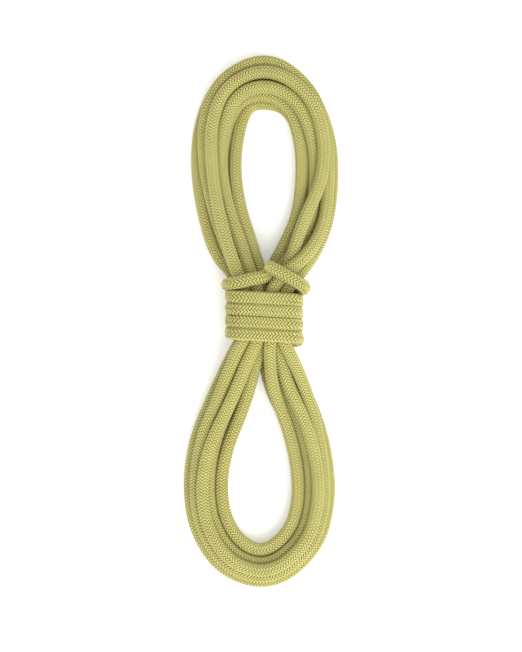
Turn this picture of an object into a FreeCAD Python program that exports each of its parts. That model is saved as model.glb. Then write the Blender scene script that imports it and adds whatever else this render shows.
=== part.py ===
"""Dynamic climbing rope, coiled into a pinched hank and lashed round its waist.

The whole rope is one line: a free cut end on top, four lashing wraps round the waist, seven turns of
the hank, and an end that is tucked away between the arms. Each length of rope is a piece of its own, and
the pieces meet face to face. Lengths are in millimetres. The hank lies on z = 0, its long axis is Y and
it is seen from +Z.
"""
import FreeCAD, Part
import os
from math import cos, hypot, pi, sin, sqrt, tan

os.makedirs("parts", exist_ok=True)
V = FreeCAD.Vector

# ---- driving dimensions ----
ROPE_D = 9.8                # rope under no load
LASH_D = 9.1                # the same rope where the lashing pulls it tight
BORE_D = 6.4                # inside of the braided mantle, which the core fills
CORE_D = 2.1                # one core strand: one in the middle and six round it
CORE_STRANDS = 7
SEAL_LENGTH = 2.2           # melted end, where mantle and core are fused
SEAL_EDGE = 0.9             # round-over of the melted end
ORIGIN = (-1.5, -5.5)       # centre of the whole outline, seen from the middle of the waist

# ---- the hank ----
TURNS = 7
WAIST_H = 2.95              # height of the waist's middle, in rope diameters
ROW = 0.866                 # height of one row of close-packed rope, in rope diameters
# Middle of the bundle once round, from the right of the waist down, and clockwise seen from above.
BUNDLE = [
    (9.3, 0), (9.6, -14), (13.5, -26), (19.3, -51), (30.8, -80), (38.5, -110), (40, -141), (31, -171),
    (5, -192.5), (-22.5, -185), (-40, -160), (-44.3, -129), (-39.3, -97), (-26, -64), (-15.5, -28), (-8, -14),
    (-7.5, 0), (-7.8, 15.5), (-15, 29), (-22, 49), (-30.8, 79), (-36, 112), (-34, 144), (-23, 169),
    (2, 180), (28, 166), (41, 136), (43.3, 103), (38.7, 71), (27, 45), (18.5, 26), (9.8, 13),
]
STATIONS = len(BUNDLE)
# Lane of turns 1 to 7 at chosen stations: distance outward from the middle, and height, in diameters.
LOW, LOW_MID, HIGH_MID, HIGH = [WAIST_H + k * ROW for k in (-1.5, -0.5, 0.5, 1.5)]
START = [(.14, LOW), (-.86, LOW), (.64, LOW_MID), (.64, HIGH), (.14, HIGH_MID), (-.36, LOW_MID),
         (-.36, HIGH)]
LEAVE = (-1.0, 2.6)
END = START[1:] + [LEAVE]
LEFT_WAIST = [(.14, LOW), (-.36, LOW_MID), (.64, LOW_MID), (.64, HIGH), (-.36, HIGH), (.14, HIGH_MID),
              (-.86, HIGH_MID)]
LANES = {
    0: START,
    1: START,
    3: [(0, .85), (-1.25, .95), (1.05, 1.2), (.95, 2.3), (.1, 2.75), (-.55, 1.75), (-1.2, 2.5)],
    5: [(0, .5), (-1.0, .5), (1.05, .5), (.7, 1.38), (.2, 2.25), (-.3, 1.42), (-1.25, 1.47)],
    8: [(.35, .5), (-.65, .5), (1.3, .5), (.85, 1.38), (.35, 2.25), (-.15, 1.37), (-1.15, 1.4)],
    11: [(.25, .5), (-.75, .5), (1.25, .5), (.8, 1.4), (.25, 2.25), (-.2, 1.38), (-1.2, 1.42)],
    13: [(.3, .85), (-.75, 1.0), (1.3, 1.1), (.85, 2.2), (-.15, 2.85), (-.15, 1.85), (-1.3, 2.0)],
    15: LEFT_WAIST,
    17: LEFT_WAIST,
    19: [(-.4, .8), (.55, 1.0), (1.35, 1.7), (.35, 3.0), (-.5, 2.5), (.5, 2.0), (-1.35, 1.9)],
    21: [(-.5, .5), (.5, .5), (1.4, .55), (.25, 2.25), (-.35, 1.42), (.85, 1.4), (-1.3, 1.1)],
    24: [(-1.15, 1.25), (.15, .8), (1.5, .5), (.8, 1.95), (-.6, 2.1), (1.72, 1.5), (-1.75, .5)],
    27: [(-1.3, 1.45), (0, .5), (1.0, .5), (.15, 2.25), (-.35, 1.42), (.65, 1.38), (-1.0, .5)],
    28: [(-1.3, 1.4), (.05, .5), (1.0, .6), (-.75, 2.2), (-.2, 1.4), (.75, 1.45), (-.95, .5)],
    30: [(-.95, 1.5), (.65, 1.8), (1.38, 2.65), (.45, 2.8), (-.35, 2.3), (0, 3.6), (-.9, .5)],
    31: END,
    32: END,
}
FIRST_STATION = 4           # where the first turn begins, below the lashing
LAST_STATION = 28           # where the last turn ends, above the lashing

# ---- the lashing: a helix with a squarish section, going down ----
WRAPS = 4
WRAP_STEPS = 16             # points in one wrap
WRAP_PITCH = 9.1
WRAP_TOP = 14.5             # where the first wrap comes round the left side
WRAP_MIDDLE = 0.9           # the lashing's middle, across the hank
WRAP_HALF_W, WRAP_HALF_H, WRAP_SQUARE = 2.52, 2.45, 5.5    # in diameters, and the power of the section

# ---- lengths that aren't coiled: x, y in mm, height in rope diameters ----
FREE_TAIL = [(4.3, 36.0, 4.85), (13.2, 31.2, 5.1), (21.8, 26.6, 5.0), (29.0, 22.4, 4.4), (31.9, 20.2, 3.3)]
LEAD = [(14, -20.3, .5), (6.5, -24.5, .5), (5.6, -33, .5), (10.5, -44.5, .5), (19.5, -59, .5)]
TUCKED_TAIL = [
    (22.5, 55, .5), (18.5, 45, .5), (13, 36.5, .5), (6, 31, .5), (-3, 28, .5), (-11.5, 25.8, .5), (-18.5, 23.6, .6),
    (-23, 22.2, 1.2), (-24.6, 21.6, 2.3), (-24.6, 21.6, 3.5), (-22, 22.2, 4.6), (-16.5, 24.2, 5.1),
    (-8, 27.2, 5.15), (-1.5, 28.8, 4.7), (2.5, 29.8, 3.8), (4.2, 30.6, 2.8),
]

# ---- settling: how freely each length gives way to its neighbours ----
GIVE = {"free_tail": 0.0, "wrap": 0.0, "lead": 0.2, "tucked_tail": 0.25, "turn": 1.0}
PASSES = 140
FREE_PASSES = 80            # the last ones, in which nothing pulls the rope back to its lane
LANE_PULL = 0.04            # share of the way back to its lane that it is pulled in each earlier pass
LOOK_EVERY = 20             # passes between two searches for neighbours
REACH = 2.6                 # neighbours further apart than this, in diameters, are left out
SKIP = 7                    # beads along the same rope that don't count as neighbours
STRIDE = 1.3                # how boldly each pass moves the rope


def lane(turn, station):
    """Offset and height of a turn at a station, eased between the chosen stations either side."""
    keys = sorted(LANES)
    for start, end in zip(keys, keys[1:]):
        if start <= station <= end:
            part = (station - start) / (end - start)
            ease = part * part * (3 - 2 * part)
            first, last = LANES[start][turn], LANES[end][turn]
            return [a + (b - a) * ease for a, b in zip(first, last)]


def hank_point(turn, station):
    """Point of a turn: the bundle's middle moved outward, square to the bundle, and up to its height."""
    out, height = lane(turn, station)
    (x0, y0), (x1, y1) = BUNDLE[station - 1], BUNDLE[(station + 1) % STATIONS]
    along = hypot(x1 - x0, y1 - y0)
    x, y = BUNDLE[station]
    side = out * ROPE_D / along
    return [x - (y1 - y0) * side, y + (x1 - x0) * side, height * ROPE_D]


def wrap_point(step):
    """Point of the lashing: a squarish oval round the waist that goes down by one pitch each time round."""
    angle = 2 * pi * step / WRAP_STEPS
    across, up = cos(angle), sin(angle)
    flat = abs(across / WRAP_HALF_W) ** WRAP_SQUARE + abs(up / WRAP_HALF_H) ** WRAP_SQUARE
    size = flat ** (-1 / WRAP_SQUARE)
    x = WRAP_MIDDLE - size * across * ROPE_D
    y = WRAP_TOP - WRAP_PITCH * step / WRAP_STEPS
    return [x, y, (WAIST_H + size * up) * ROPE_D]


def rope_route():
    """Every point of the rope's line with the name of the length that it belongs to."""
    route = [("free_tail", [x, y, h * ROPE_D]) for x, y, h in FREE_TAIL]
    half = WRAP_STEPS // 2
    for step in range(1 - half, WRAPS * WRAP_STEPS - half + 3):
        number = (step + half - 1) // WRAP_STEPS + 1
        name = "wrap_%d" % number if number <= WRAPS else "lead"
        route.append((name, wrap_point(step)))
    route += [("lead", [x, y, h * ROPE_D]) for x, y, h in LEAD]
    for turn in range(TURNS):
        first = FIRST_STATION if turn == 0 else 0
        last = LAST_STATION if turn == TURNS - 1 else STATIONS - 1
        for station in range(first, last + 1):
            route.append(("turn_%d" % (turn + 1), hank_point(turn, station)))
    route += [("tucked_tail", [x, y, h * ROPE_D]) for x, y, h in TUCKED_TAIL]
    return route


def beads(line):
    """Places on the rope itself: one beside each point of its line and one half way to the next."""
    out = [list(line[0])]
    for before, here, after in zip(line, line[1:], line[2:]):
        out.append([(a + b) / 2 for a, b in zip(before, here)])
        out.append([(a + 6 * b + c) / 8 for a, b, c in zip(before, here, after)])
    out.append([(a + b) / 2 for a, b in zip(line[-2], line[-1])])
    out.append(list(line[-1]))
    return out


def neighbours(row):
    """Pairs (i, j) in which bead i comes near the stretch from bead j to bead j + 1."""
    limit = (REACH * ROPE_D) ** 2
    middles = [[(a + b) / 2 for a, b in zip(p, q)] for p, q in zip(row, row[1:])]
    return [(i, j) for i, p in enumerate(row) for j, q in enumerate(middles)
            if abs(i - j) >= SKIP and sum((a - b) ** 2 for a, b in zip(p, q)) < limit]


def settle(names, line):
    """Push the lengths of rope apart until none lies closer to another than one rope diameter.

    Each pass finds the beads that are too close to another stretch, moves the points that carry them by a
    part of the overlap, and spreads each move over the points beside it so that the rope stays smooth.
    """
    give = [GIVE[name.rstrip("_0123456789")] for name in names]
    home = line
    line = [list(p) for p in line]
    count = len(line)
    for step in range(PASSES):
        pull = LANE_PULL if step < PASSES - FREE_PASSES else 0.0
        row = beads(line)
        if step % LOOK_EVERY == 0:
            near = neighbours(row)
        push = [[0.0, 0.0, 0.0] for _ in line]
        load = [0.0] * count
        for i, j in near:
            p, a, b = row[i], row[j], row[j + 1]
            run = [v - u for u, v in zip(a, b)]
            along = sum((v - u) * r for u, v, r in zip(a, p, run)) / sum(r * r for r in run)
            along = min(1.0, max(0.0, along))
            gap = [v - u - along * r for u, v, r in zip(a, p, run)]
            apart = sqrt(sum(g * g for g in gap))
            if apart >= ROPE_D:
                continue
            force = 0.5 * (ROPE_D - apart) / apart
            for bead, share in ((i, 1.0), (j, along - 1), (j + 1, -along)):
                for point in {bead // 2, (bead + 1) // 2}:
                    part = share if bead % 2 == 0 else share / 2
                    load[point] += abs(part)
                    push[point] = [u + force * part * g for u, g in zip(push[point], gap)]
        moves = [[give[k] * u / max(1.0, load[k] / 2) for u in push[k]] for k in range(count)]
        for k in range(count):
            if give[k] > 0:
                before, after = moves[max(k - 1, 0)], moves[min(k + 1, count - 1)]
                line[k] = [p + STRIDE * (0.2 * a + 0.6 * m + 0.2 * b) + pull * (h - p)
                           for p, h, a, m, b in zip(line[k], home[k], before, moves[k], after)]
                line[k][2] = max(line[k][2], ROPE_D / 2)
    return line


# ---- solids ----
def unit(vector):
    return vector * (1 / vector.Length)


def bend(before, here, after):
    """Start, middle and end of the arc at a point of the line, and the arc's radius."""
    back, ahead = before - here, after - here
    reach = 0.45 * min(back.Length, ahead.Length)
    half_turn = (pi - back.getAngle(ahead)) / 2
    radius = reach / tan(half_turn)
    inward = unit(unit(back) + unit(ahead))
    middle = here + inward * (radius / cos(half_turn) - radius)
    return here + unit(back) * reach, middle, here + unit(ahead) * reach, radius


def path(line, first, last):
    """Wire along points first to last, from half way before the first to half way after the last.

    At an end of the rope it runs from or to the end point itself.
    """
    start = line[0] if first == 0 else (line[first - 1] + line[first]) * 0.5
    stop = line[-1] if last == len(line) - 1 else (line[last] + line[last + 1]) * 0.5
    edges, radii = [], []
    for k in range(max(first, 1), min(last, len(line) - 2) + 1):
        arc_start, middle, arc_end, radius = bend(*line[k - 1:k + 2])
        edges.append(Part.LineSegment(start, arc_start).toShape())
        edges.append(Part.Arc(arc_start, middle, arc_end).toShape())
        start = arc_end
        radii.append(radius)
    edges.append(Part.LineSegment(start, stop).toShape())
    return Part.Wire(edges), radii


def swept(wire, radius, aside=0.0, angle=0.0):
    """Round rod of the given radius along a wire, set aside from it at an angle round it."""
    start = wire.Edges[0].firstVertex().Point
    ahead = unit(wire.Edges[0].lastVertex().Point - start)
    across = unit(ahead.cross(V(0, 0, 1)))
    up = across.cross(ahead)
    centre = start + (across * cos(angle) + up * sin(angle)) * aside
    profile = Part.Wire(Part.makeCircle(radius, centre, ahead))
    return wire.makePipeShell([profile], True, False)


def core_strands(wire):
    """One strand in the middle and the others round it, all side by side along the wire."""
    strands = [swept(wire, CORE_D / 2)]
    around = CORE_STRANDS - 1
    for k in range(around):
        strands.append(swept(wire, CORE_D / 2 - 0.01, CORE_D, 2 * pi * k / around))
    return strands


def seal(end, outward):
    """Melted end: a short plug with a rounded outer edge."""
    plug = Part.makeCylinder(ROPE_D / 2, SEAL_LENGTH, end, outward)
    rim = [e for e in plug.Edges if (e.CenterOfMass - end - outward * SEAL_LENGTH).Length < 0.01]
    return plug.makeFillet(SEAL_EDGE, rim)


def write(name, shape):
    if not shape.isValid() or len(shape.Solids) != 1:
        print("CHECK %s: valid %s, solids %d" % (name, shape.isValid(), len(shape.Solids)))
    shape.exportStep("parts/%s.step" % name)


names, points = zip(*rope_route())
points = settle(names, list(points))
line = [V(x - ORIGIN[0], y - ORIGIN[1], z) for x, y, z in points]
NODE_NAMES = {"wrap": "lashing_wrap", "turn": "hank_turn", "lead": "lashing_lead"}
total = 0.0
for name in dict.fromkeys(names):
    first = names.index(name)
    last = len(names) - 1 - names[::-1].index(name)
    wire, radii = path(line, first, last)
    kind = name.rstrip("_0123456789")
    node = name.replace(kind, NODE_NAMES.get(kind, kind))
    radius = (LASH_D if kind == "wrap" else ROPE_D) / 2
    rod = swept(wire, radius)
    section = pi * radius ** 2
    print("%-15s length %6.1f  radii %5.1f to %6.1f  volume / (section x length) %.4f" % (
        node, wire.Length, min(radii), max(radii), rod.Volume / (section * wire.Length)))
    total += wire.Length
    if kind.endswith("tail"):
        write(node + "_mantle", rod.cut(swept(wire, BORE_D / 2)))
        for number, strand in enumerate(core_strands(wire), 1):
            write("%s_core_%d" % (node, number), strand)
    else:
        write(node, rod)
write("free_end_seal", seal(line[0], unit(line[0] - line[1])))
write("tucked_end_seal", seal(line[-1], unit(line[-1] - line[-2])))
print("rope length %.0f mm" % total)
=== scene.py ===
"""Dynamic climbing rope in a lashed hank: braided mantle, filling, melted ends, floor, light and camera.

The rope is one line. Its points are the ones that the CAD rope is swept along, settled in the same way,
and every piece follows one smooth spline through them.
"""
import bpy
import numpy as np
from math import pi
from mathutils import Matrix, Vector


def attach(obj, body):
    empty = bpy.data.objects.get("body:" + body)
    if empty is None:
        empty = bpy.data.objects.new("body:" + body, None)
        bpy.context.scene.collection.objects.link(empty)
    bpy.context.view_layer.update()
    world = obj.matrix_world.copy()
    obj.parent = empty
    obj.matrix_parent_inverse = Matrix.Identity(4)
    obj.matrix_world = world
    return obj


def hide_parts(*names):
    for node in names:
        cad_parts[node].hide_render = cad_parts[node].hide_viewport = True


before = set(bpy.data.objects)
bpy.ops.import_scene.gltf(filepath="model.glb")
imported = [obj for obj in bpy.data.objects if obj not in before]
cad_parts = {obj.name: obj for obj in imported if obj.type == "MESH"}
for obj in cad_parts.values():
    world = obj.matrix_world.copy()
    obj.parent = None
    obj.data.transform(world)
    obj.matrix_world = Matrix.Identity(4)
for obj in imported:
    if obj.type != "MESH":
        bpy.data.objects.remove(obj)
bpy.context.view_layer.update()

# ---- the rope's line, in millimetres from the middle of the waist ----
ROPE_D = 9.8                # rope under no load
LASH_D = 9.1                # the same rope where the lashing pulls it tight
ORIGIN = (-1.5, -5.5)       # centre of the whole outline, seen from the middle of the waist
TURNS = 7
WAIST_H = 2.95              # height of the waist's middle, in rope diameters
ROW = 0.866                 # height of one row of close-packed rope, in rope diameters
# Middle of the bundle once round, from the right of the waist down, and clockwise seen from above.
BUNDLE = [
    (9.3, 0), (9.6, -14), (13.5, -26), (19.3, -51), (30.8, -80), (38.5, -110), (40, -141), (31, -171),
    (5, -192.5), (-22.5, -185), (-40, -160), (-44.3, -129), (-39.3, -97), (-26, -64), (-15.5, -28), (-8, -14),
    (-7.5, 0), (-7.8, 15.5), (-15, 29), (-22, 49), (-30.8, 79), (-36, 112), (-34, 144), (-23, 169),
    (2, 180), (28, 166), (41, 136), (43.3, 103), (38.7, 71), (27, 45), (18.5, 26), (9.8, 13),
]
STATIONS = len(BUNDLE)
# Lane of turns 1 to 7 at chosen stations: distance outward from the middle, and height, in diameters.
LOW, LOW_MID, HIGH_MID, HIGH = [WAIST_H + k * ROW for k in (-1.5, -0.5, 0.5, 1.5)]
START = [(.14, LOW), (-.86, LOW), (.64, LOW_MID), (.64, HIGH), (.14, HIGH_MID), (-.36, LOW_MID),
         (-.36, HIGH)]
LEAVE = (-1.0, 2.6)
END = START[1:] + [LEAVE]
LEFT_WAIST = [(.14, LOW), (-.36, LOW_MID), (.64, LOW_MID), (.64, HIGH), (-.36, HIGH), (.14, HIGH_MID),
              (-.86, HIGH_MID)]
LANES = {
    0: START,
    1: START,
    3: [(0, .85), (-1.25, .95), (1.05, 1.2), (.95, 2.3), (.1, 2.75), (-.55, 1.75), (-1.2, 2.5)],
    5: [(0, .5), (-1.0, .5), (1.05, .5), (.7, 1.38), (.2, 2.25), (-.3, 1.42), (-1.25, 1.47)],
    8: [(.35, .5), (-.65, .5), (1.3, .5), (.85, 1.38), (.35, 2.25), (-.15, 1.37), (-1.15, 1.4)],
    11: [(.25, .5), (-.75, .5), (1.25, .5), (.8, 1.4), (.25, 2.25), (-.2, 1.38), (-1.2, 1.42)],
    13: [(.3, .85), (-.75, 1.0), (1.3, 1.1), (.85, 2.2), (-.15, 2.85), (-.15, 1.85), (-1.3, 2.0)],
    15: LEFT_WAIST,
    17: LEFT_WAIST,
    19: [(-.4, .8), (.55, 1.0), (1.35, 1.7), (.35, 3.0), (-.5, 2.5), (.5, 2.0), (-1.35, 1.9)],
    21: [(-.5, .5), (.5, .5), (1.4, .55), (.25, 2.25), (-.35, 1.42), (.85, 1.4), (-1.3, 1.1)],
    23: [(-.85, 1.35), (.3, .6), (1.5, .5), (.65, 2.1), (-.3, 2.2), (1.5, 1.45), (-1.25, .5)],
    24: [(-1.15, 1.25), (.15, .8), (1.5, .5), (.8, 1.95), (-.6, 2.1), (1.72, 1.5), (-1.7, .5)],
    25: [(-1.0, 1.45), (.1, .55), (1.1, .5), (.5, 2.3), (-.4, 2.15), (1.1, 1.45), (-1.15, .5)],
    27: [(-1.3, 1.45), (0, .5), (1.0, .5), (.15, 2.25), (-.35, 1.42), (.65, 1.38), (-1.0, .5)],
    28: [(-1.3, 1.4), (.05, .5), (1.0, .6), (-.75, 2.2), (-.2, 1.4), (.75, 1.45), (-.95, .5)],
    30: [(-.95, 1.5), (.65, 1.8), (1.38, 2.65), (.45, 2.8), (-.35, 2.3), (0, 3.6), (-.9, .5)],
    31: END,
    32: END,
}
FIRST_STATION = 4           # where the first turn begins, below the lashing
LAST_STATION = 28           # where the last turn ends, above the lashing
WRAPS = 4
WRAP_STEPS = 16             # points in one wrap
WRAP_PITCH = 9.1
WRAP_TOP = 14.5             # where the first wrap comes round the left side
WRAP_MIDDLE = 0.9           # the lashing's middle, across the hank
WRAP_HALF_W, WRAP_HALF_H, WRAP_SQUARE = 2.52, 2.45, 5.5    # in diameters, and the power of the section
# Lengths that aren't coiled: x, y in mm, height in rope diameters.
FREE_TAIL = [(4.3, 36.0, 4.85), (13.2, 31.2, 5.1), (21.8, 26.6, 5.0), (29.0, 22.4, 4.4), (31.9, 20.2, 3.3)]
LEAD = [(14, -20.3, .5), (6.5, -24.5, .5), (5.6, -33, .5), (10.5, -44.5, .5), (19.5, -59, .5)]
TUCKED_TAIL = [
    (22.5, 55, .5), (18.5, 45, .5), (13, 36.5, .5), (6, 31, .5), (-3, 28, .5), (-11.5, 25.8, .5),
    (-18.5, 23.6, .6), (-23, 22.2, 1.2), (-24.6, 21.6, 2.3), (-24.6, 21.6, 3.5), (-22, 22.2, 4.6),
    (-16.5, 24.2, 5.1), (-8, 27.2, 5.15), (-1.5, 28.8, 4.7), (2.5, 29.8, 3.8), (4.2, 30.6, 2.8),
]
# How freely each length gives way to its neighbours as the rope settles.
GIVE = {"free_tail": 0.0, "wrap": 0.0, "lead": 0.2, "tucked_tail": 0.25, "turn": 1.0}
PASSES = 140
FREE_PASSES = 80            # the last ones, in which nothing pulls the rope back to its lane
LOOK_EVERY = 20             # passes between two searches for neighbours
LANE_PULL = 0.04            # share of the way back to its lane that it is pulled in each earlier pass
STRIDE = 1.3                # how boldly each pass moves the rope
REACH = 2.6                 # neighbours further apart than this, in diameters, are left out
SKIP = 7                    # beads along the same rope that don't count as neighbours


def hank_point(turn, station):
    """Point of a turn: the bundle's middle moved outward, square to the bundle, and up to its height."""
    keys = sorted(LANES)
    start, end = [(a, b) for a, b in zip(keys, keys[1:]) if a <= station <= b][0]
    part = (station - start) / (end - start)
    ease = part * part * (3 - 2 * part)
    out, height = [a + (b - a) * ease for a, b in zip(LANES[start][turn], LANES[end][turn])]
    ahead = np.subtract(BUNDLE[(station + 1) % STATIONS], BUNDLE[station - 1])
    side = np.array([-ahead[1], ahead[0]]) * out * ROPE_D / np.hypot(*ahead)
    return [*(side + BUNDLE[station]), height * ROPE_D]


def wrap_point(step):
    """Point of the lashing: a squarish oval round the waist that goes down by one pitch each time round."""
    angle = 2 * pi * step / WRAP_STEPS
    across, up = np.cos(angle), np.sin(angle)
    flat = abs(across / WRAP_HALF_W) ** WRAP_SQUARE + abs(up / WRAP_HALF_H) ** WRAP_SQUARE
    size = flat ** (-1 / WRAP_SQUARE)
    y = WRAP_TOP - WRAP_PITCH * step / WRAP_STEPS
    return [WRAP_MIDDLE - size * across * ROPE_D, y, (WAIST_H + size * up) * ROPE_D]


def rope_route():
    """Every point of the rope's line with the name of the length that it belongs to."""
    route = [("free_tail", [x, y, h * ROPE_D]) for x, y, h in FREE_TAIL]
    half = WRAP_STEPS // 2
    for step in range(1 - half, WRAPS * WRAP_STEPS - half + 3):
        number = (step + half - 1) // WRAP_STEPS + 1
        route.append(("wrap_%d" % number if number <= WRAPS else "lead", wrap_point(step)))
    route += [("lead", [x, y, h * ROPE_D]) for x, y, h in LEAD]
    for turn in range(TURNS):
        first = FIRST_STATION if turn == 0 else 0
        last = LAST_STATION if turn == TURNS - 1 else STATIONS - 1
        route += [("turn_%d" % (turn + 1), hank_point(turn, k)) for k in range(first, last + 1)]
    return route + [("tucked_tail", [x, y, h * ROPE_D]) for x, y, h in TUCKED_TAIL]


def beads(line):
    """Places on the rope itself: at each point (a + 6b + c) / 8, and half way between two points."""
    row = np.empty((2 * len(line) - 1, 3))
    row[0::2] = line
    row[2:-1:2] = (line[:-2] + 6 * line[1:-1] + line[2:]) / 8
    row[1::2] = (line[:-1] + line[1:]) / 2
    return row


def neighbours(row):
    """Pairs (i, j) in which bead i comes near the stretch from bead j to bead j + 1."""
    middles = (row[:-1] + row[1:]) / 2
    apart = ((row[:, None] - middles[None]) ** 2).sum(2)
    along = abs(np.arange(len(row))[:, None] - np.arange(len(middles))[None])
    return np.nonzero((along >= SKIP) & (apart < (REACH * ROPE_D) ** 2))


def settle(names, home):
    """Push the lengths of rope apart until none lies closer to another than one rope diameter.

    Each pass finds the beads that are too close to another stretch, moves the points that carry them by
    a part of the overlap, and spreads each move over the points beside it so that the rope stays smooth.
    """
    give = np.array([GIVE[name.rstrip("_0123456789")] for name in names])[:, None]
    line = home.copy()
    for step in range(PASSES):
        row = beads(line)
        if step % LOOK_EVERY == 0:
            near = neighbours(row)
        i, j = near
        run = row[j + 1] - row[j]
        along = ((row[i] - row[j]) * run).sum(1) / (run * run).sum(1)
        along = np.clip(along, 0, 1)
        gap = row[i] - row[j] - along[:, None] * run
        apart = np.linalg.norm(gap, axis=1)
        close = apart < ROPE_D
        i, j, along, gap, apart = i[close], j[close], along[close], gap[close], apart[close]
        gap = gap * (0.5 * (ROPE_D - apart) / apart)[:, None]
        push, load = np.zeros_like(line), np.zeros(len(line))
        for bead, share in ((i, np.ones(len(i))), (j, along - 1), (j + 1, -along)):
            odd = bead % 2 == 1
            part = np.where(odd, share / 2, share)
            for point, here in ((bead // 2, part), ((bead + 1) // 2, np.where(odd, part, 0))):
                np.add.at(load, point, abs(here))
                np.add.at(push, point, gap * here[:, None])
        moves = give * push / np.maximum(1, load / 2)[:, None]
        padded = np.concatenate([moves[:1], moves, moves[-1:]])
        pull = LANE_PULL if step < PASSES - FREE_PASSES else 0
        shift = STRIDE * (0.2 * padded[:-2] + 0.6 * moves + 0.2 * padded[2:]) + pull * (home - line)
        line = line + np.where(give > 0, shift, 0)
        line[:, 2] = np.where(give[:, 0] > 0, np.maximum(line[:, 2], ROPE_D / 2), line[:, 2])
    return line


# ---- the smooth line that everything follows, in metres ----
D = ROPE_D / 1000
RING = 0.00078              # distance between two rings of the rope's pieces
LINE_STEPS = 24             # points of the smooth line for each point of the route
EASE = 0.012                # how far each way the rope eases between its own and its tight thickness
TIGHTENED = 0.55            # share of the lashing's thinning that the round section takes


def spline_line(points):
    """Points read from one NURBS spline that has the route's points as its control points."""
    curve = bpy.data.curves.new("rope_line", "CURVE")
    curve.dimensions = "3D"
    spline = curve.splines.new("NURBS")
    spline.points.add(len(points) - 1)
    spline.points.foreach_set("co", np.column_stack([points, np.ones(len(points))]).ravel())
    spline.order_u = 3
    spline.use_endpoint_u = True
    spline.resolution_u = LINE_STEPS
    curve_object = bpy.data.objects.new("rope_line", curve)
    mesh = bpy.data.meshes.new_from_object(curve_object)
    line = np.empty(len(mesh.vertices) * 3)
    mesh.vertices.foreach_get("co", line)
    bpy.data.objects.remove(curve_object)
    bpy.data.meshes.remove(mesh)
    return line.reshape(-1, 3)


def lengths_along(line):
    """Distance from the start, measured along the line, of each of its points."""
    return np.concatenate([[0], np.cumsum(np.linalg.norm(np.diff(line, axis=0), axis=1))])


def at(places, distance, values):
    """Values along the line, read at other distances: straight interpolation, column by column."""
    return np.column_stack([np.interp(places, distance, column) for column in values.T])


def unit(vectors):
    return vectors / np.linalg.norm(vectors, axis=-1, keepdims=True)


def carried_frame(line):
    """Direction of the line and a side direction that never twists about it.

    Each side direction is the one before it, less its share along the line's new direction.
    """
    ahead = unit(np.gradient(line, axis=0))
    side = np.empty_like(ahead)
    current = np.cross(ahead[0], [0, 0, 1])
    for k, direction in enumerate(ahead):
        current = current - direction * (current @ direction)
        current = current / np.sqrt(current @ current)
        side[k] = current
    return ahead, side


names, route = zip(*rope_route())
settled = settle(names, np.array(route, float))
control = (settled - [*ORIGIN, 0]) / 1000
# Moves to the right, in millimetres, from a length's chosen point on: the tucked tail is pulled
# in tight where it comes round the left side, and two turns close up in the right neck.
for name, first, moves in (
        ("tucked_tail", 6, (1.5, 2.4, 2.8, 2.8, 2.2, 1.0)),
        ("turn_1", LAST_STATION - FIRST_STATION, (1.2, 4.0, 2.0)),
        ("turn_5", LAST_STATION, (0.6, 2.6, 0.6))):
    first += names.index(name)
    control[first:first + len(moves), 0] += np.array(moves) / 1000
fine = spline_line(control)
fine_length = lengths_along(fine)
ROPE_LENGTH = fine_length[-1]
RINGS = int(ROPE_LENGTH / RING)
along_rope = np.linspace(0, ROPE_LENGTH, RINGS)
centre = at(along_rope, fine_length, fine)
ahead, side = carried_frame(centre)
up = np.cross(ahead, side)

# Ring at which each length of rope begins: half way between its first point and the one before.
ORDER = list(dict.fromkeys(names))
knots = np.linspace(0, len(control) - 2, len(fine))
first_ring = {}
for name in ORDER:
    first_point = names.index(name)
    start = np.interp(max(first_point - 1, 0), knots, fine_length)
    first_ring[name] = int(round(start / ROPE_LENGTH * (RINGS - 1)))
last_ring = dict(zip(ORDER, [first_ring[name] for name in ORDER[1:]] + [RINGS - 1]))


def eased(places, start, end):
    """0 before start, 1 after end, and a smooth step between them."""
    part = np.clip((places - start) / (end - start), 0, 1)
    return part * part * (3 - 2 * part)


# The lashing pulls the rope thinner, and its ends ease back to the rope's own thickness.
lash_start, lash_end = along_rope[first_ring["wrap_1"]], along_rope[first_ring["lead"]]
tight = eased(along_rope, lash_start - EASE, lash_start + EASE)
tight = tight * (1 - eased(along_rope, lash_end - EASE, lash_end + EASE))
thickness = D * (1 - TIGHTENED * (1 - LASH_D / ROPE_D) * tight)


# ---- meshes ----
def grid_mesh(name, grid, attributes):
    """Mesh of a stack of tubes.

    grid holds tubes x rings x points round x 3. Each tube's rings are joined by quads, and each end is
    closed with one flat face. attributes holds values with the same layout, one set for each point.
    """
    tubes, rings, around, _ = grid.shape
    index = np.arange(tubes * rings * around).reshape(tubes, rings, around)
    here, beside = index, np.roll(index, -1, axis=2)
    quads = np.stack([here[:, :-1], beside[:, :-1], beside[:, 1:], here[:, 1:]], axis=-1).reshape(-1, 4)
    starts, ends = index[:, 0, ::-1], index[:, -1]
    loops = np.concatenate([quads.ravel(), starts.ravel(), ends.ravel()])
    sizes = np.concatenate([np.full(len(quads), 4), np.full(2 * tubes, around)])
    mesh = bpy.data.meshes.new(name)
    mesh.vertices.add(index.size)
    mesh.vertices.foreach_set("co", grid.astype(np.float32).ravel())
    mesh.loops.add(len(loops))
    mesh.loops.foreach_set("vertex_index", loops.astype(np.int32))
    mesh.polygons.add(len(sizes))
    mesh.polygons.foreach_set("loop_start", np.concatenate([[0], np.cumsum(sizes)[:-1]]).astype(np.int32))
    mesh.polygons.foreach_set("use_smooth", sizes == 4)
    for key, values in attributes.items():
        kind = "FLOAT_VECTOR" if values.ndim == 4 else "FLOAT"
        layer = mesh.attributes.new(key, kind, "POINT")
        layer.data.foreach_set("vector" if values.ndim == 4 else "value", values.astype(np.float32).ravel())
    mesh.update(calc_edges=True)
    mesh.validate()
    return mesh


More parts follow.
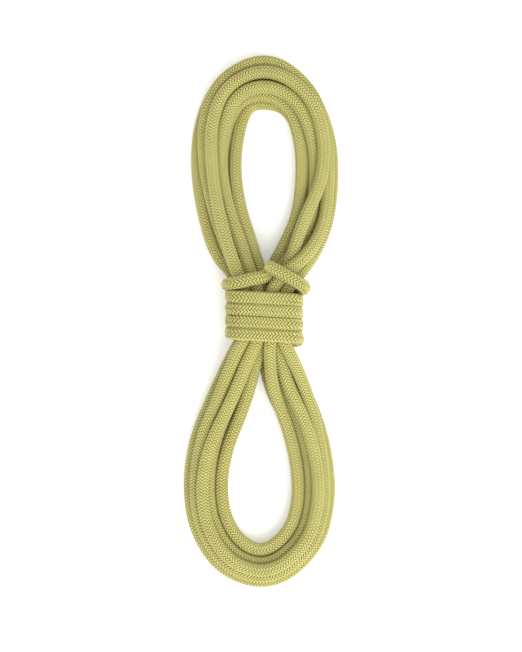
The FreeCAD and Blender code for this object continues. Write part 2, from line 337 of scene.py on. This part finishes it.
def add_piece(name, mesh, material, nodes):
    """Put a finished mesh in the scene as a piece that stands for CAD nodes."""
    piece = bpy.data.objects.new(name, mesh)
    bpy.context.scene.collection.objects.link(piece)
    mesh.materials.append(material)
    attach(piece, "root")
    if nodes:
        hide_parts(*nodes)
    return piece


# ---- braid of the mantle ----
CARRIERS = 10               # yarns that run each way round
PITCH = 0.0235              # length of rope in which a yarn goes once round
YARN_WIDTH = 0.190          # in rope diameters, as are the next three
YARN_THICK = 0.080
YARN_WAVE = 0.040           # how far a yarn rises and dips from its middle
FLOAT_FLAT = 1.5            # how flat a yarn lies over the yarns that it crosses
SQUARENESS = 1.6            # how much the section's power grows where the wraps press each other
GRAIN = 1.6                 # scale of the pattern along the rope
BRAID_RADIUS = 0.5 - YARN_WAVE - YARN_THICK / 2
# Section of a yarn, from one lower edge over the crown to the other: across and up, in half sizes.
YARN_SECTION = np.array([(-1, -0.8), (-0.46, 0.9), (0.46, 0.9), (1, -0.8)])


def squared(along_hank, pressed):
    """How far out the rope's surface lies, as a share of its radius, where its wraps press each other.

    A round section turns into a squarish one, whose power grows from 2 to 3.6 with the pressure. Its flat
    sides face along the hank, towards the wraps beside it.
    """
    power = 2 + SQUARENESS * pressed
    level = abs(along_hank)
    return (level ** power + np.sqrt(np.clip(1 - level ** 2, 0, 1)) ** power) ** (-1 / power)


def braid(first, last):
    """Yarns of the mantle from one ring to another, two over and two under.

    A yarn turns evenly round the rope, once in each pitch, half of the yarns one way and half the other.
    Its distance from the middle is the braid's radius plus a flattened cosine that is highest in the
    middle of each float over two yarns. The floats of one way lie in columns along the rope. The yarn's
    section stands on that line, square to it, with its crown outward, and is fullest in mid float.
    """
    rings = slice(first, last + 1)
    turned = (along_rope[rings] / (PITCH / CARRIERS))[None, :]
    number = np.arange(2 * CARRIERS)[:, None]
    way = np.where(number < CARRIERS, 1.0, -1.0)
    place = (number % CARRIERS) + way * turned
    crossing = pi / 2 * (2 * place - np.where(way > 0, 0.5, 2.5))
    wave = np.tanh(FLOAT_FLAT * np.cos(crossing)) / np.tanh(FLOAT_FLAT)
    angle = 2 * pi * place / CARRIERS
    outward = np.cos(angle)[..., None] * side[rings] + np.sin(angle)[..., None] * up[rings]
    size = thickness[rings][None, :] * squared(outward[..., 1], tight[rings][None, :])
    line = centre[rings] + outward * (size * (BRAID_RADIUS + YARN_WAVE * wave))[..., None]
    forward = unit(np.gradient(line, axis=1))
    across = unit(np.cross(outward, forward))
    outward = np.cross(forward, across)
    section = YARN_SECTION * [YARN_WIDTH / 2, YARN_THICK / 2]
    wide, thick = size * (0.92 + 0.10 * wave), size * (1.02 + 0.22 * wave)
    grid = (line[:, :, None]
            + across[:, :, None] * (wide[..., None] * section[:, 0])[..., None]
            + outward[:, :, None] * (thick[..., None] * section[:, 1])[..., None])
    shape = grid.shape[:3]
    over = np.broadcast_to(YARN_SECTION[:, 0], shape)
    length = np.broadcast_to((along_rope[rings] * GRAIN)[None, :, None], shape)
    height = np.broadcast_to(wave[:, :, None], shape)
    carrier = np.broadcast_to(number[:, :, None] * 1.0, shape)
    return grid, {"yarn": np.stack([over, length, height], axis=-1), "carrier": carrier}


# ---- shaders ----
class Value:
    """A socket that takes part in Python sums: each operator adds a Math node."""

    def __init__(self, nodes, socket):
        self.nodes, self.socket = nodes, socket

    def maths(self, operation, *others):
        return self.nodes.node("ShaderNodeMath", {"operation": operation}, [self, *others])

    def __add__(self, other):
        return self.maths("ADD", other)

    def __mul__(self, other):
        return self.maths("MULTIPLY", other)

    def __rsub__(self, other):
        return self.nodes.node("ShaderNodeMath", {"operation": "SUBTRACT"}, [other, self])

    __radd__, __rmul__ = __add__, __mul__


class Nodes:
    """A material's nodes, made with one call each."""

    def __init__(self, name):
        self.material = bpy.data.materials.new(name)
        self.material.use_nodes = True
        self.tree = self.material.node_tree
        self.shader = self.tree.nodes["Principled BSDF"]

    def set(self, node, values):
        """Give a node's sockets their values or links, by place or by name."""
        for key, value in (values.items() if isinstance(values, dict) else enumerate(values)):
            if isinstance(value, Value):
                self.tree.links.new(value.socket, node.inputs[key])
            elif value is not None:
                node.inputs[key].default_value = value

    def node(self, kind, settings=None, values=(), output=0):
        """Add a node: its type, its settings, then its sockets, and return one of its outputs."""
        node = self.tree.nodes.new(kind)
        for key, value in (settings or {}).items():
            if key == "stops":
                for spot, (place, level) in enumerate(value):
                    stop = node.color_ramp.elements[spot] if spot < 2 else node.color_ramp.elements.new(place)
                    stop.position, stop.color = place, (level, level, level, 1)
            else:
                setattr(node, key, value)
        self.set(node, values)
        return Value(self, node.outputs[output])

    def attribute(self, name, output="Fac"):
        return self.node("ShaderNodeAttribute", {"attribute_name": name}, (), output)

    def parts(self, vector):
        """The three parts of a vector."""
        return [self.node("ShaderNodeSeparateXYZ", None, [vector], k) for k in range(3)]

    def vector(self, *parts):
        return self.node("ShaderNodeCombineXYZ", None, parts)

    def noise(self, vector, scale, detail, roughness=0.5):
        return self.node("ShaderNodeTexNoise", None,
                         {"Vector": vector, "Scale": scale, "Detail": detail, "Roughness": roughness})

    def ramp(self, value, *stops):
        return self.node("ShaderNodeValToRGB", {"stops": stops}, [value])

    def mix(self, factor, first, second):
        """A mixture of two colours."""
        return self.node("ShaderNodeMix", {"data_type": "RGBA"}, {0: factor, 6: first, 7: second}, 2)

    def bump(self, height, distance, strength):
        return self.node("ShaderNodeBump", None,
                         {"Height": height, "Distance": distance, "Strength": strength})


def colour(red, green, blue):
    """A colour given as screen values from 0 to 255, in the linear values that a shader takes."""
    values = np.array([red, green, blue]) / 255
    return (*np.where(values > 0.04045, ((values + 0.055) / 1.055) ** 2.4, values / 12.92), 1.0)


def braided_nylon():
    """Olive polyamide yarn: fine filaments along each yarn, a painted highlight on the pale crowns and
    painted shade in the warm dark grooves.
    """
    m = Nodes("braided_nylon")
    across, along, height = m.parts(m.attribute("yarn", "Vector"))
    carrier = m.attribute("carrier")
    place = m.node("ShaderNodeTexCoord", None, (), "Object")
    filaments = m.noise(m.vector(across * 5.0, along * 420.0, carrier * 3.7), 1.0, 3.0, 0.65)
    pick_tone = m.noise(m.vector(across * 0.5, along * 230.0, carrier * 5.3), 1.0, 2.0, 0.6)
    length_tone = m.noise(place, 34.0, 3.0, 0.6)
    dye_tone = m.noise(place, 11.0, 2.0)
    edge = across.maths("ABSOLUTE")
    # How far a point lies in shade, towards a yarn's edges and where it dips under: low values get a painted
    # highlight, high ones painted shade.
    shade_depth = edge * edge * 0.5 + (1.0 - height) * 0.34
    body = m.mix(m.ramp(pick_tone, (0.32, 0.0), (0.68, 1.0)), colour(163, 157, 78), colour(180, 174, 92))
    body = m.mix(m.ramp(length_tone, (0.38, 0.0), (0.68, 0.8)), body, colour(154, 147, 68))
    body = m.mix(m.ramp(dye_tone, (0.4, 0.0), (0.7, 0.5)), body, colour(176, 173, 98))
    # Painted highlight: a pale cream colour on the crowns of the floats, where the light falls on their tops.
    body = m.mix(m.ramp(shade_depth, (0.0, 0.6), (0.2, 0.28), (0.4, 0.0)), body, colour(221, 215, 152))
    body = m.mix(m.ramp(filaments, (0.36, 0.3), (0.6, 0.0)), body, colour(142, 134, 56))
    # Painted shade: a warm dark olive at the yarns' edges and where they dip under their neighbours.
    body = m.mix(m.ramp(shade_depth, (0.42, 0.0), (0.68, 0.34), (0.95, 0.7)), body, colour(138, 128, 40))
    m.set(m.shader, {
        "Base Color": body,
        "Roughness": 0.46 + filaments * 0.25,
        "Normal": m.bump(filaments, 0.00012, 0.7),
        "IOR": 1.53, "Specular IOR Level": 0.32,
        "Sheen Weight": 0.12, "Sheen Roughness": 0.45, "Sheen Tint": (0.97, 0.96, 0.8, 1),
    })
    return m.material


def filling_painted_shade():
    """What shows between the mantle's yarns: the filling, in fine twisted threads, coloured dark olive as
    painted shade in the gaps.
    """
    m = Nodes("filling_painted_shade")
    place = m.node("ShaderNodeTexCoord", None, (), "Object")
    threads = m.noise(place, 900.0, 2.0)
    tone = m.ramp(threads, (0.3, 0.0), (0.7, 1.0))
    m.set(m.shader, {
        # Painted shade: dark olive threads stand in for the shadow between the mantle's yarns.
        "Base Color": m.mix(tone, colour(140, 130, 44), colour(164, 154, 64)),
        "Roughness": 0.7 + threads * 0.2,
        "Normal": m.bump(threads, 0.0002, 0.5),
        "Sheen Weight": 0.1,
    })
    return m.material


def melted_nylon():
    """Fused rope end: smooth and glassy where it flowed, mottled where filaments went in."""
    m = Nodes("melted_nylon")
    place = m.node("ShaderNodeTexCoord", None, (), "Object")
    mottle = m.noise(place, 700.0, 4.0, 0.6)
    broad = m.noise(place, 260.0, 2.0)
    body = m.mix(m.ramp(mottle, (0.35, 0.0), (0.68, 1.0)), colour(150, 142, 78), colour(186, 178, 108))
    body = m.mix(m.ramp(broad, (0.45, 0.0), (0.75, 0.6)), body, colour(112, 98, 46))
    m.set(m.shader, {
        "Base Color": body,
        "Roughness": 0.28 + mottle * 0.25,
        "Normal": m.bump(mottle + broad, 0.0004, 0.5),
        "IOR": 1.53,
        "Coat Weight": 0.25, "Coat Roughness": 0.2,
    })
    return m.material


def plain_floor():
    m = Nodes("pale_floor")
    m.set(m.shader, {"Base Color": (0.93, 0.93, 0.93, 1), "Roughness": 0.9, "Specular IOR Level": 0.1,
                     "Emission Color": (1, 1, 1, 1), "Emission Strength": 0.22})
    return m.material


NYLON, FILLING, MELTED = braided_nylon(), filling_painted_shade(), melted_nylon()

# ---- the mantle, one piece for each length of rope ----
NODE_OF = {"free_tail": "free_tail_mantle", "tucked_tail": "tucked_tail_mantle", "lead": "lashing_lead"}
for name in ORDER:
    node = NODE_OF.get(name, name.replace("wrap", "lashing_wrap").replace("turn", "hank_turn"))
    grid, attributes = braid(first_ring[name], last_ring[name])
    mesh = grid_mesh("braid_" + name, grid, attributes)
    add_piece("braid_" + name, mesh, NYLON, [node])


# ---- the filling, which runs the whole length inside the mantle ----
FILL_RADIUS = 0.372         # in rope diameters
FILL_SIDES = 12
FILL_STEP = 3               # rings of the rope for each ring of the filling


def filling():
    """A round rod along the rope: each ring is a circle of the filling's radius, square to the line."""
    rings = np.unique(np.append(np.arange(0, RINGS, FILL_STEP), RINGS - 1))
    angle = 2 * pi * np.arange(FILL_SIDES) / FILL_SIDES
    outward = (np.cos(angle)[None, :, None] * side[rings][:, None]
               + np.sin(angle)[None, :, None] * up[rings][:, None])
    return (centre[rings][:, None] + outward * (thickness[rings] * FILL_RADIUS)[:, None, None])[None]


core_nodes = ["%s_core_%d" % (tail, k) for tail in ("free_tail", "tucked_tail") for k in range(1, 8)]
rope = add_piece("rope_filling", grid_mesh("rope_filling", filling(), {}), FILLING, core_nodes)


# ---- melted ends ----
# Shares of the profile where the straight side stops and where the round edge stops, and sizes in diameters.
SIDE_STOP, EDGE_STOP = 0.4, 0.65
FACE_RADIUS, EDGE_ROUND = 0.43, 0.055
SIDE_BACK, SIDE_FRONT = -0.1, 0.15
DISH = 0.03


def melted_end(end, outward):
    """Lump of fused rope on a cut end.

    A profile turned about the rope's line: straight sides, a rounded edge and a shallow dish. Its radius
    and its height carry small waves, the places where single yarns melted together.
    """
    outward = unit(outward)
    across = unit(np.cross(outward, [0.3, 0.2, 1.0]))
    upward = np.cross(outward, across)
    rise = np.linspace(0, 1, 28)
    turn = np.linspace(0, 2 * pi, 72, endpoint=False)
    bent = np.clip((rise - SIDE_STOP) / (EDGE_STOP - SIDE_STOP), 0, 1) * pi / 2
    inward = (rise - EDGE_STOP) / (1 - EDGE_STOP)
    radius = FACE_RADIUS + EDGE_ROUND * np.cos(bent)
    radius = np.where(rise > EDGE_STOP, FACE_RADIUS * (1 - inward) + 0.004, radius)
    height = np.where(rise < SIDE_STOP, SIDE_BACK + (SIDE_FRONT - SIDE_BACK) * rise / SIDE_STOP,
                      SIDE_FRONT + EDGE_ROUND * np.sin(bent))
    height = height - DISH * np.clip(inward, 0, 1) ** 1.5
    wave = (0.012 * np.cos(16 * turn + 1.2 * np.sin(3 * turn)) + 0.010 * np.sin(5 * turn + 0.7))[None, :]
    fade = np.clip(1.4 - rise, 0, 1)[:, None]
    lump = 0.012 * np.sin(3 * turn + 1.0)[None, :] * np.sin(pi * rise)[:, None]
    radius = radius[:, None] * (1 + wave * fade)
    height = height[:, None] + lump + 0.006 * np.cos(7 * turn)[None, :] * (rise * (1 - rise))[:, None] * 4
    grid = (end + outward * (height * D)[..., None]
            + across * (radius * D * np.cos(turn))[..., None]
            + upward * (radius * D * np.sin(turn))[..., None])
    return grid[None]


for label, node, end, outward in (
        ("melted_free_end", "free_end_seal", control[0], control[0] - control[1]),
        ("melted_tucked_end", "tucked_end_seal", control[-1], control[-1] - control[-2])):
    add_piece(label, grid_mesh(label, melted_end(end, outward), {}), MELTED, [node])


# ---- floor, light and camera ----
def flat_sheet(name, half, height):
    """A square sheet: corners at plus and minus half, all at one height."""
    mesh = bpy.data.meshes.new(name)
    mesh.from_pydata([(-half, -half, height), (half, -half, height), (half, half, height),
                      (-half, half, height)], [], [(0, 1, 2, 3)])
    sheet = bpy.data.objects.new(name, mesh)
    bpy.context.scene.collection.objects.link(sheet)
    return sheet


floor = flat_sheet("floor", 3.0, -0.0002)
floor.data.materials.append(plain_floor())


def soft_light(name, place, target, size, power):
    lamp = bpy.data.lights.new(name, "AREA")
    lamp.shape, lamp.size, lamp.energy = "DISK", size, power
    light = bpy.data.objects.new(name, lamp)
    light.location = place
    light.rotation_mode = "QUATERNION"
    light.rotation_quaternion = (Vector(target) - Vector(place)).to_track_quat("-Z", "Y")
    bpy.context.scene.collection.objects.link(light)


soft_light("key_light", (0.6, -0.9, 1.5), (0.05, -0.1, 0), 1.5, 24)
soft_light("front_light", (0.2, -0.4, 2.1), (0, 0, 0), 1.9, 10.5)
world = bpy.data.worlds.new("studio")
world.use_nodes = True
world.node_tree.nodes["Background"].inputs["Color"].default_value = (1, 1, 1, 1)
world.node_tree.nodes["Background"].inputs["Strength"].default_value = 0.82
bpy.context.scene.world = world
bpy.context.scene.view_settings.view_transform = "Standard"

VIEW_MIDDLE = (0.0, -0.0028)    # what the camera looks at
VIEW_HEIGHT = 0.4916            # long side of the view at the hank's middle height
HANK_MIDDLE = 0.025
CAMERA_ABOVE = 1.6              # height over the hank's middle
lens = bpy.data.cameras.new("camera")
lens.sensor_width = 36
lens.lens = lens.sensor_width * CAMERA_ABOVE / VIEW_HEIGHT
camera = bpy.data.objects.new("camera", lens)
camera.location = (*VIEW_MIDDLE, HANK_MIDDLE + CAMERA_ABOVE)
bpy.context.scene.collection.objects.link(camera)
bpy.context.scene.camera = camera
